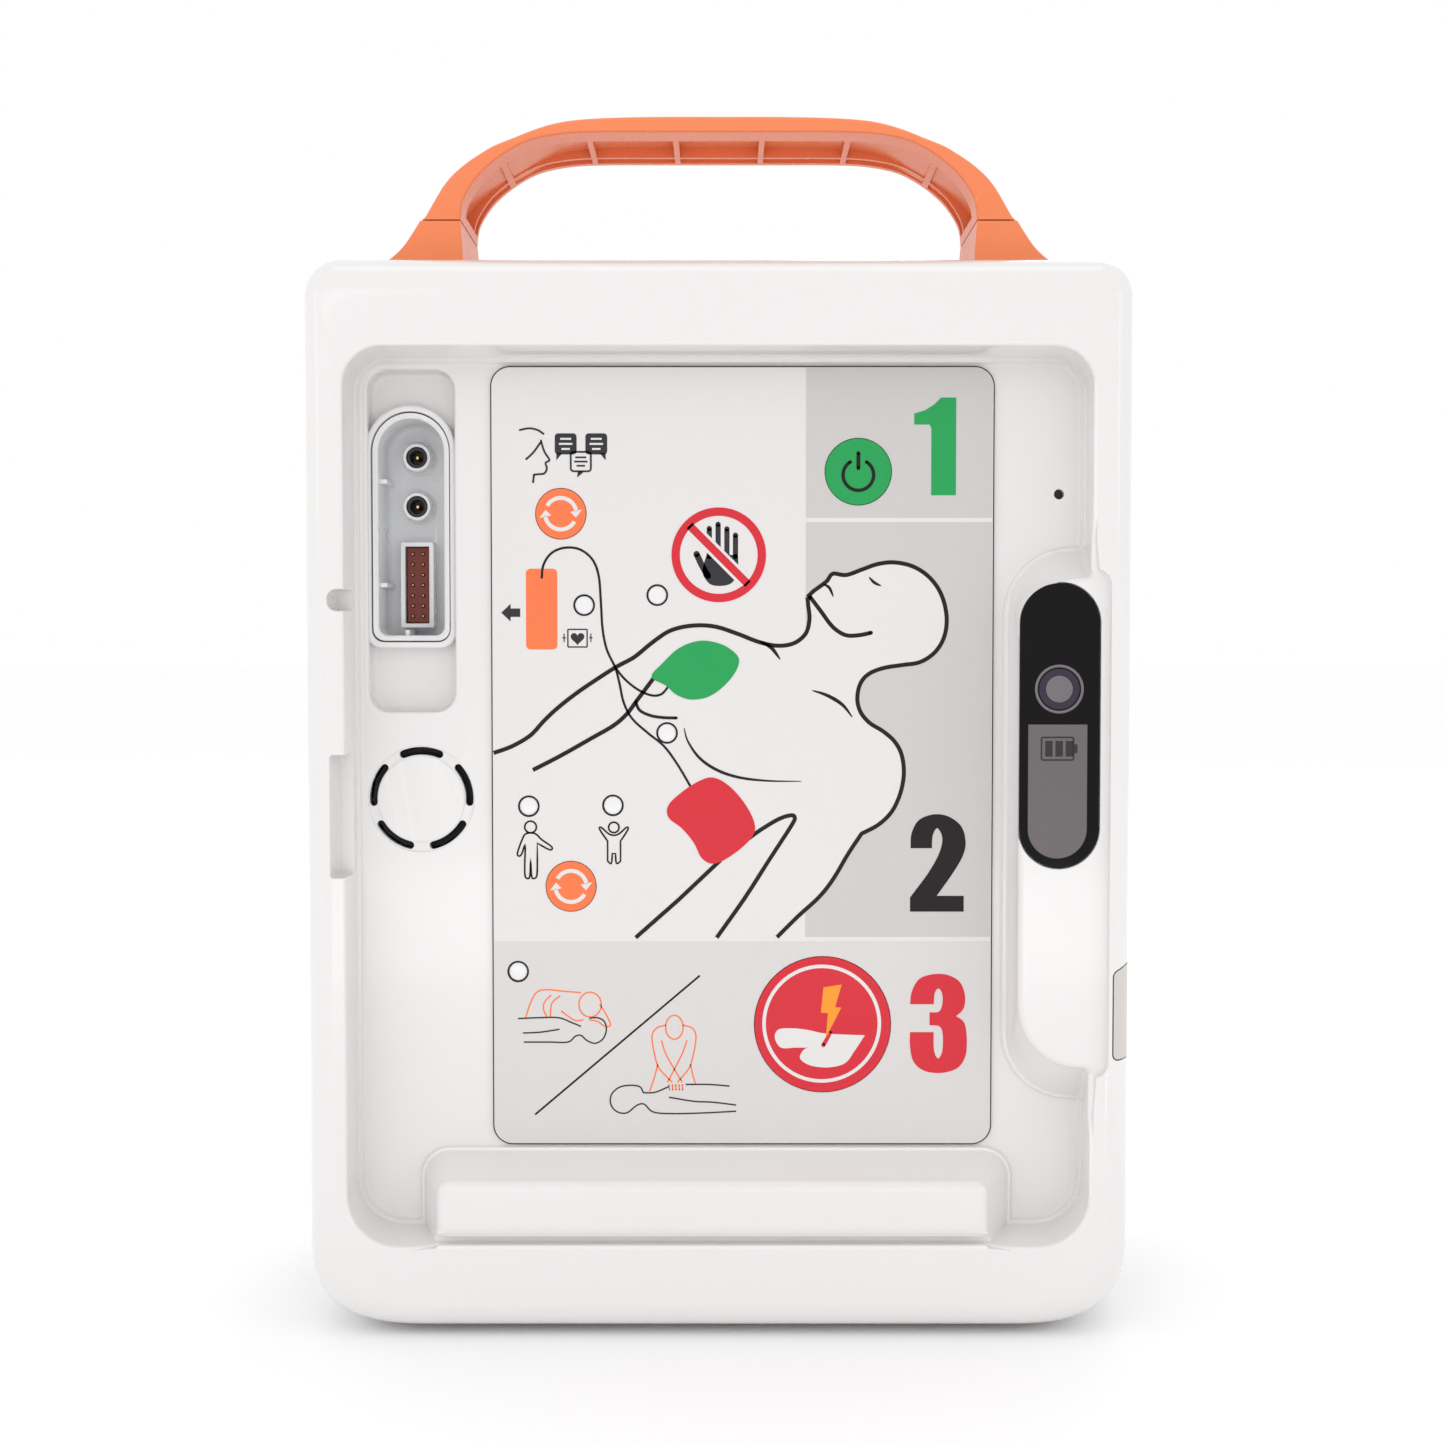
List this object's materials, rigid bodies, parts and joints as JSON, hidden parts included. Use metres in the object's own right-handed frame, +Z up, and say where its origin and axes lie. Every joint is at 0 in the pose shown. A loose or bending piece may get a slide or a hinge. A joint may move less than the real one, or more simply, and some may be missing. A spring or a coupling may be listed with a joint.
{
  "type": "automated external defibrillator",
  "caption": "Portable automated defibrillator standing upright: white two-shell case, recessed key panel, plug well, status window, orange arched handle and rear battery pack.",
  "frame": {"origin": "centre of the base, under the case", "axes": "+Z up the standing case to the handle, +X to the user's right, +Y from the key panel to the back"},
  "size_m": [0.2, 0.095, 0.293],
  "materials": {
    "white_plastic": "gloss",
    "orange_plastic": "gloss",
    "grey_plastic": "satin",
    "overlay_film": "satin",
    "green_key": "satin",
    "orange_key": "satin",
    "red_key": "satin",
    "clear_lens": "gloss",
    "black_window": "gloss",
    "black_plastic": "matte",
    "red_connector": "matte",
    "gold": "polished",
    "steel": "satin",
    "aluminium": "satin",
    "circuit_board": "satin",
    "rubber": "matte",
    "blue_film": "gloss"
  },
  "bodies": {
    "case": {"front_case": "white_plastic", "rear_case": "white_plastic", "case_gasket": "rubber", "case_screw_1": "steel", "case_screw_2": "steel", "case_screw_3": "steel", "case_screw_4": "steel", "foot_pad_1": "rubber", "foot_pad_2": "rubber", "foot_pad_3": "rubber", "foot_pad_4": "rubber", "handle_grip": "orange_plastic", "handle_foot_left": "orange_plastic", "handle_foot_right": "orange_plastic", "panel_overlay": "overlay_film", "power_switch": "black_plastic", "language_switch": "black_plastic", "patient_switch": "black_plastic", "shock_switch": "black_plastic", "indicator_lens_1": "clear_lens", "indicator_lens_2": "clear_lens", "indicator_lens_3": "clear_lens", "indicator_lens_4": "clear_lens", "indicator_lens_5": "clear_lens", "indicator_lens_6": "clear_lens", "status_window": "black_window", "display_module": "black_plastic", "connector_well": "grey_plastic", "pad_socket_upper": "black_plastic", "pad_socket_lower": "black_plastic", "pad_pin_upper": "gold", "pad_pin_lower": "gold", "ecg_header": "red_connector", "ecg_pins": "gold", "hv_lead_upper": "red_key", "hv_lead_lower": "overlay_film", "release_pin": "steel", "release_spring": "steel", "speaker_basket": "steel", "speaker_cone": "black_plastic", "speaker_magnet": "steel", "microphone": "steel", "button_board": "circuit_board", "main_board": "circuit_board", "button_ribbon": "overlay_film", "hv_capacitor": "blue_film", "hv_transformer": "black_plastic", "heat_sink": "aluminium", "discharge_relay": "black_plastic", "contact_block": "black_plastic"},
    "power_key": {"power_key": "green_key"},
    "language_key": {"language_key": "orange_key"},
    "patient_key": {"patient_key": "orange_key"},
    "shock_key": {"shock_key": "red_key"},
    "release_lever": {"release_lever": "grey_plastic"},
    "battery_pack": {"battery_tray": "black_plastic", "battery_lid": "grey_plastic", "battery_cells": "blue_film", "latch_spring": "steel"},
    "battery_latch": {"battery_latch": "orange_plastic"}
  },
  "joints": [
    {"name": "power_key_press", "type": "slide", "parent": "case", "child": "power_key", "axis": [0, 1, 0], "range_m": [0, 0.001], "stiffness_N_per_m": 1500},
    {"name": "language_key_press", "type": "slide", "parent": "case", "child": "language_key", "axis": [0, 1, 0], "range_m": [0, 0.001], "stiffness_N_per_m": 1500},
    {"name": "patient_key_press", "type": "slide", "parent": "case", "child": "patient_key", "axis": [0, 1, 0], "range_m": [0, 0.001], "stiffness_N_per_m": 1500},
    {"name": "shock_key_press", "type": "slide", "parent": "case", "child": "shock_key", "axis": [0, 1, 0], "range_m": [0, 0.001], "stiffness_N_per_m": 2000},
    {"name": "release_lever_turn", "type": "hinge", "parent": "case", "child": "release_lever", "pos_m": [0.0954, -0.0429, 0.077], "axis": [0, 0, 1], "range_deg": [0, 9], "stiffness_Nm_per_rad": 0.3, "deforming": ["release_spring"]},
    {"name": "battery_slide", "type": "slide", "parent": "case", "child": "battery_pack", "axis": [0, 1, 0], "range_m": [0, 0.032]},
    {"name": "battery_latch_press", "type": "slide", "parent": "battery_pack", "child": "battery_latch", "axis": [0, 0, -1], "range_m": [0, 0.003], "stiffness_N_per_m": 800, "deforming": ["latch_spring"]}
  ]
}
